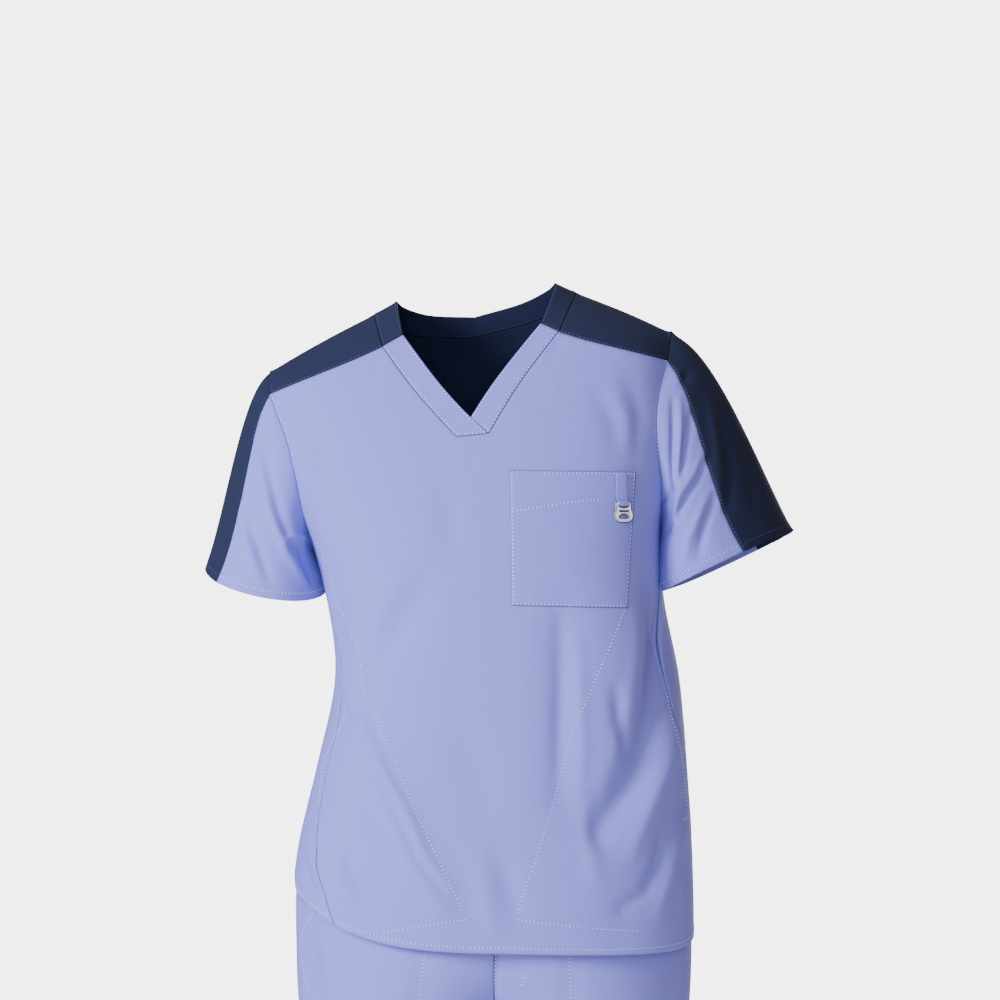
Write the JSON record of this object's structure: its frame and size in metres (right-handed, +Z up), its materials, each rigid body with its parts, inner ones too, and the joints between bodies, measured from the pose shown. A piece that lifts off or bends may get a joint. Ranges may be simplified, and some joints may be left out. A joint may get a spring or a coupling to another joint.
{
  "type": "medical scrubs",
  "caption": "Short-sleeve V-neck top with contrast yokes and sleeve stripes, a chest pocket with a ring tab, and plain trousers, in their worn form.",
  "frame": {"origin": "middle of the neck opening, level with the highest points of the neck edge", "axes": "the front faces -Y, the right side of the garment is -X, Z is up"},
  "size_m": [0.6248, 0.2794, 1.5771],
  "materials": {
    "lavender_cloth": "smooth poplin",
    "navy_cloth": "smooth poplin",
    "ring_metal": "satin"
  },
  "bodies": {
    "garments": {"top_front": "lavender_cloth", "top_back": "lavender_cloth", "top_yoke": "navy_cloth", "neckband_right": "lavender_cloth", "neckband_left": "lavender_cloth", "neckband_back": "navy_cloth", "sleeve_right_front": "lavender_cloth", "sleeve_right_stripe": "navy_cloth", "sleeve_right_back": "lavender_cloth", "sleeve_left_front": "lavender_cloth", "sleeve_left_stripe": "navy_cloth", "sleeve_left_back": "lavender_cloth", "trousers_right_front": "lavender_cloth", "trousers_right_back": "lavender_cloth", "trousers_left_front": "lavender_cloth", "trousers_left_back": "lavender_cloth", "trousers_waistband": "lavender_cloth", "chest_pocket": "lavender_cloth", "pocket_tab": "lavender_cloth"},
    "ring": {"badge_ring": "ring_metal"}
  },
  "joints": [
    {"name": "ring_swing", "type": "hinge", "parent": "garments", "child": "ring", "pos_m": [0.15257, -0.10313, -0.22092], "axis": [-0.8678, -0.4969, 0], "range_deg": [0, 110]}
  ]
}
